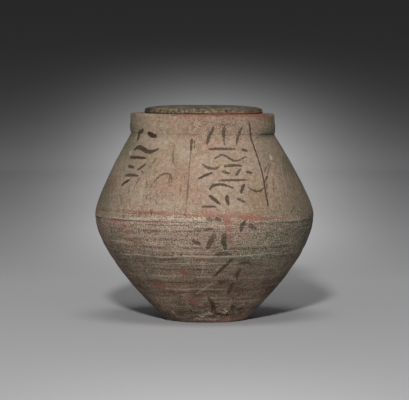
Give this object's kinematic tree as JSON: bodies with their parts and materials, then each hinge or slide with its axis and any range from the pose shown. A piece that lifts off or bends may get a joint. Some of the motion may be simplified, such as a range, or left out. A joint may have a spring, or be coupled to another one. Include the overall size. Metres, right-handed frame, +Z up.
{
  "type": "lidded shabti jar",
  "caption": "Coarse pottery jar with a conical lower body, a sharp wide belly, a sloping painted shoulder and a short upright neck, closed by a loose disc lid.",
  "frame": {"origin": "centre of the flat underside", "axes": "+Z up through the mouth, -Y out of the painted front, +X to the right of someone facing the front"},
  "size_m": [0.3, 0.3, 0.2946],
  "materials": {
    "jar_clay": "matt cream slip over coarse clay, painted, worn and crusted",
    "lid_clay": "matt coarse clay with a worn grey-green top"
  },
  "bodies": {
    "root": {"jar": "jar_clay", "lid": "lid_clay"}
  },
  "joints": []
}
